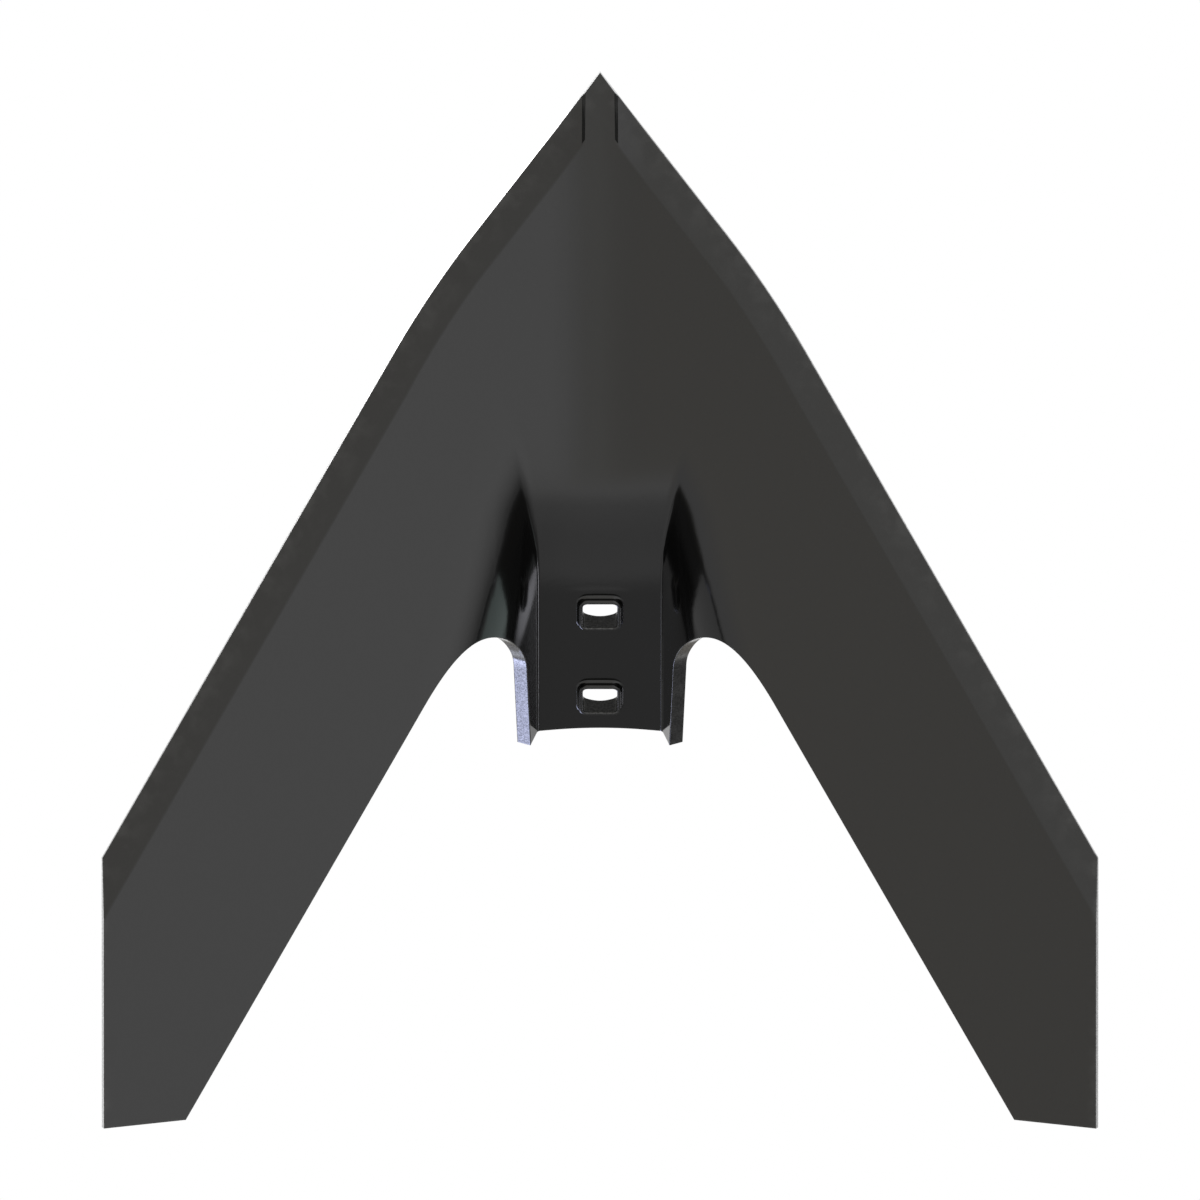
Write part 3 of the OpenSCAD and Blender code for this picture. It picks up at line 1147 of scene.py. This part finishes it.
@dataclass(frozen=True)
class PaintFinish:
    """A gloss black paint, as it lies on one kind of surface."""

    name: str
    paint: tuple[float, float, float, float] = (0.0015, 0.0015, 0.0015, 1.0)
    dust: tuple[float, float, float, float] = (0.05, 0.048, 0.045, 1.0)
    # Lighter colour on the rounded edges, partly wear and partly a painted highlight.
    wear_and_highlight_color: tuple[float, float, float, float] = (0.05, 0.05, 0.05, 1.0)
    dust_amount: float = 0.03
    roughness: float = 0.12
    roughness_spread: float = 0.06
    grain_scale: float = 1500.0
    grain_share: float = 0.1
    gloss_spread: float = 0.04
    coat_roughness: float = 0.12
    relief: float = 0.000012
    # How much of the lighter edge colour, wear and painted highlight, is mixed in.
    wear_and_highlight: float = 0.3

    def material(self) -> bpy.types.Material:
        """Makes the material.

        Returns:
            The new material.
        """
        made = bpy.data.materials.new(self.name)
        made.use_nodes = True
        made.node_tree.nodes.clear()
        nodes = NodeTree(made.node_tree)
        film = nodes.add("ShaderNodeGroup", {
            "Paint": self.paint, "Dust": self.dust, "Dust Amount": self.dust_amount,
            "Roughness": self.roughness, "Roughness Spread": self.roughness_spread,
            "Grain Scale": self.grain_scale, "Grain Share": self.grain_share,
            "Gloss Spread": self.gloss_spread,
        }, node_tree=PaintFilm.group()).outputs
        # Lightens the rounded edges: wear and a painted highlight.
        wear_and_highlight = nodes.add("ShaderNodeGroup", {
            "Color": film["Color"], "Wear And Highlight Color": self.wear_and_highlight_color, "Amount": self.wear_and_highlight,
        }, node_tree=EdgeWearAndHighlight.group())
        bump = nodes.add("ShaderNodeBump", {
            "Height": film["Height"], "Strength": 1.0, "Distance": self.relief,
        })
        shader = nodes.add("ShaderNodeBsdfPrincipled", {
            "Base Color": wear_and_highlight.outputs["Color"], "Roughness": film["Roughness"],
            "Coat Weight": film["Gloss"], "Coat Roughness": self.coat_roughness,
            "Normal": bump.outputs["Normal"],
        })
        nodes.add("ShaderNodeOutputMaterial", {"Surface": shader.outputs["BSDF"]})
        return made


FINISHES = {
    Finish.SKIN: PaintFinish("black_paint"),
    Finish.CUT: PaintFinish("black_paint_on_cut_edge", roughness=0.2, grain_share=0.6, gloss_spread=0.9,
                            relief=0.00003),
}


@dataclass(frozen=True)
class Lamp:
    """One soft lamp, in metres, aimed at the sweep."""

    name: str
    place: tuple[float, float, float]
    width: float
    height: float
    power: float
    color: tuple[float, float, float] = (1.0, 1.0, 1.0)

    def build(self, target: tuple[float, float, float]) -> bpy.types.Object:
        """Adds the lamp, hidden from the camera.

        Args:
            target: Point that the lamp faces.

        Returns:
            The lamp's object.
        """
        data = bpy.data.lights.new(self.name, "AREA")
        data.shape = "ELLIPSE"
        data.size = self.width
        data.size_y = self.height
        data.energy = self.power
        data.color = self.color
        lamp = bpy.data.objects.new(self.name, data)
        bpy.context.scene.collection.objects.link(lamp)
        lamp.location = self.place
        aim = np.array(target) - np.array(self.place)
        lamp.rotation_euler = Vector(aim).to_track_quat("-Z", "Y").to_euler()
        lamp.visible_camera = False
        return lamp


@dataclass(frozen=True)
class Wall:
    """One upright part of the surround.

    Its span runs from left to right and its tones from straight down to straight up, both from
    -1 to 1.
    """

    span: tuple[float, float]
    tones: Stops


@dataclass(frozen=True)
class Surround:
    """The world as a soft tent: a pale floor, walls behind the stem and beside it, and a top.

    The floor's and the top's tones run from left to right, from -1 to 1. In front the sides are
    dark and the top is pale, and the top has a white opening in its middle.
    """

    floor: Stops = (
        (-0.325, (0.99, 0.96, 0.9)), (-0.2, (0.98, 0.96, 0.91)), (-0.09, (1.03, 1.01, 0.96)),
        (0.0, (1.12, 1.11, 1.06)), (0.09, (1.12, 1.11, 1.07)), (0.2, (1.26, 1.26, 1.25)),
        (0.325, (1.42, 1.42, 1.42)),
    )
    top: Stops = (
        (-0.33, (1.1, 1.1, 1.1)), (-0.27, (1.4, 1.4, 1.4)), (-0.17, (1.25, 1.3, 1.5)),
        (-0.12, (0.19, 0.18, 0.16)), (0.15, (0.19, 0.18, 0.16)), (0.25, (1.1, 1.1, 1.1)),
        (0.29, (1.1, 1.1, 1.1)), (0.33, (0.6, 0.6, 0.6)),
    )
    walls: tuple[Wall, ...] = (
        Wall((-1.0, -0.7), (
            (-0.45, (0.92, 0.9, 0.86)), (-0.2, (0.8, 0.8, 0.8)), (-0.05, (0.75, 0.75, 0.75)),
            (0.03, (0.55, 0.55, 0.55)), (0.45, (0.55, 0.55, 0.55)), (0.58, (0.1, 0.1, 0.1)),
        )),
        Wall((-0.3, 0.12), (
            (-0.45, (1.17, 1.17, 1.16)), (-0.3, (0.8, 0.8, 0.8)), (-0.19, (0.65, 0.65, 0.65)),
            (-0.03, (0.65, 0.65, 0.65)), (0.02, (0.37, 0.37, 0.37)), (0.6, (0.25, 0.25, 0.24)),
        )),
        Wall((0.45, 0.72), (
            (-0.45, (1.25, 1.25, 1.25)), (-0.3, (0.8, 0.8, 0.8)), (-0.15, (0.4, 0.4, 0.4)),
            (-0.06, (0.25, 0.25, 0.25)), (0.7, (0.22, 0.22, 0.22)),
        )),
        Wall((0.86, 1.0), (
            (-0.45, (1.25, 1.25, 1.25)), (-0.3, (1.0, 1.0, 1.0)), (-0.15, (0.6, 0.6, 0.6)),
            (-0.06, (0.25, 0.25, 0.25)), (0.03, (0.25, 0.25, 0.25)), (0.08, (0.75, 0.9, 0.87)),
            (0.45, (0.8, 0.95, 0.92)), (0.58, (0.1, 0.1, 0.1)),
        )),
    )
    floor_edge: tuple[float, float] = (-0.65, -0.4)
    top_edge: tuple[float, float] = (0.72, 0.9)
    front_edge: tuple[float, float] = (0.06, 0.2)
    front: tuple[float, float, float, float] = (0.3, 0.3, 0.29, 1.0)
    front_top_edge: tuple[float, float] = (-0.15, -0.03)
    front_top: tuple[float, float, float, float] = (1.2, 1.2, 1.2, 1.0)
    opening_edge: tuple[float, float] = (0.965, 0.985)
    opening: tuple[float, float, float, float] = (1.0, 1.0, 1.0, 1.0)

    def build(self) -> None:
        """Makes the world."""
        world = bpy.data.worlds.new("soft_tent")
        bpy.context.scene.world = world
        world.use_nodes = True
        world.node_tree.nodes.clear()
        nodes = NodeTree(world.node_tree)
        direction = nodes.add("ShaderNodeTexCoord").outputs["Generated"]
        parts = nodes.add("ShaderNodeSeparateXYZ", {"Vector": direction})
        across, along, up = (parts.outputs[axis] for axis in "XYZ")
        sides = self.ramp(nodes, up, self.walls[0].tones)
        for wall, after in zip(self.walls, self.walls[1:]):
            gap = (wall.span[1], after.span[0])
            sides = self.blend(nodes, across, gap, sides, self.ramp(nodes, up, after.tones))
        sides = self.blend(nodes, along, self.front_edge, self.front, sides)
        tent = self.blend(nodes, up, self.floor_edge, self.ramp(nodes, across, self.floor), sides)
        top = self.ramp(nodes, across, self.top)
        top = self.blend(nodes, along, self.front_top_edge, self.front_top, top)
        tent = self.blend(nodes, up, self.top_edge, tent, top)
        tent = self.blend(nodes, up, self.opening_edge, tent, self.opening)
        light = nodes.add("ShaderNodeBackground", {"Color": tent, "Strength": 1.0})
        nodes.add("ShaderNodeOutputWorld", {"Surface": light.outputs[0]})

    @staticmethod
    def blend(nodes: NodeTree, value: bpy.types.NodeSocket, edge: tuple[float, float],
              low: object, high: object) -> bpy.types.NodeSocket:
        """Goes smoothly from one colour to another.

        Args:
            nodes: The world's nodes.
            value: What the change depends on.
            edge: Values at which the change begins and ends.
            low: Colour before the change, or an output that gives it.
            high: Colour after it, in the same way.

        Returns:
            The blended colour.
        """
        share = nodes.stretch(value, edge, interpolation_type="SMOOTHSTEP")
        return nodes.mix(share, low, high)

    @staticmethod
    def ramp(nodes: NodeTree, value: bpy.types.NodeSocket, stops: Stops) -> bpy.types.NodeSocket:
        """Adds a colour ramp over -1 to 1.

        Args:
            nodes: The world's nodes.
            value: What the colour depends on.
            stops: Values and their colours, in order.

        Returns:
            The ramp's colour.
        """
        node = nodes.add("ShaderNodeValToRGB", {"Fac": nodes.math("MULTIPLY_ADD", value, 0.5, 0.5)})
        elements = node.color_ramp.elements
        while len(elements) < len(stops):
            elements.new(1.0)
        for element, (place, color) in zip(elements, stops):
            element.position = (place + 1) / 2
            element.color = (*color, 1.0)
        return node.outputs["Color"]


@dataclass(frozen=True)
class Studio:
    """Pale floor, soft surround, lamps and the camera below the sweep."""

    floor_half: float = 20.0
    floor_color: tuple[float, float, float, float] = (0.86, 0.86, 0.86, 1.0)
    lens: float = 1500.0
    sensor: float = 36.0
    frame_w: float = 0.4281
    middle_z: float = 0.012
    clip_end: float = 100.0
    target: tuple[float, float, float] = (0.0, 0.0, 0.05)
    surround: Surround = Surround()
    lamps: tuple[Lamp, ...] = (
        Lamp("overhead_softbox", (-0.9, -1.1, 2.0), 1.2, 1.2, 22.0),
        Lamp("cool_lamp_left", (-0.63, 1.64, 0.95), 0.54, 1.14, 9.6, (0.65, 0.7, 1.0)),
        Lamp("cool_lamp_right", (1.28, 1.42, 0.62), 0.4, 0.32, 1.4, (0.92, 0.92, 1.0)),
    )

    def build(self) -> None:
        """Sets up floor, surround, lamps and camera."""
        bpy.context.scene.view_settings.view_transform = "Standard"
        self.floor()
        self.surround.build()
        for lamp in self.lamps:
            lamp.build(self.target)
        self.camera()

    def floor(self) -> bpy.types.Object:
        """Adds the floor, which takes the shadow and is open to a view from below.

        Returns:
            The floor's object.
        """
        half = self.floor_half
        mesh = bpy.data.meshes.new("floor")
        mesh.from_pydata([(-half, -half, 0), (half, -half, 0), (half, half, 0), (-half, half, 0)],
                         [], [(0, 1, 2, 3)])
        floor = bpy.data.objects.new("floor", mesh)
        bpy.context.scene.collection.objects.link(floor)
        for ray in ("diffuse", "glossy", "transmission", "shadow"):
            setattr(floor, f"visible_{ray}", False)
        made = bpy.data.materials.new("pale_floor")
        made.use_nodes = True
        made.node_tree.nodes.clear()
        nodes = NodeTree(made.node_tree)
        pale = nodes.add("ShaderNodeBsdfDiffuse", {"Color": self.floor_color})
        clear = nodes.add("ShaderNodeBsdfTransparent")
        below = nodes.add("ShaderNodeNewGeometry").outputs["Backfacing"]
        mix = nodes.add("ShaderNodeMixShader", {0: below, 1: pale.outputs[0], 2: clear.outputs[0]})
        nodes.add("ShaderNodeOutputMaterial", {"Surface": mix.outputs[0]})
        mesh.materials.append(made)
        return floor

    def camera(self) -> None:
        """Adds the camera straight below the sweep, with the nose at the top of the picture."""
        data = bpy.data.cameras.new("camera")
        data.lens = self.lens
        data.sensor_width = self.sensor
        data.clip_end = self.clip_end
        camera = bpy.data.objects.new("camera", data)
        bpy.context.scene.collection.objects.link(camera)
        camera.location = (0.0, 0.0, self.middle_z - self.frame_w * self.lens / self.sensor)
        camera.rotation_euler = (math.pi, 0.0, 0.0)
        bpy.context.scene.camera = camera


def main() -> None:
    """Builds the studio and the sweep, and reports each piece."""
    logging.basicConfig(level=logging.INFO, format="%(message)s")
    Studio().build()
    sweep = Sweep()
    piece = sweep.build()
    sweep.dress(piece, FINISHES)
    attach(piece, BODY)
    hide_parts(NODE)
    log.info("%s: %d faces, finishes %s", piece.name, len(piece.data.polygons),
             [material.name for material in piece.data.materials])


if __name__ == "__main__":
    main()
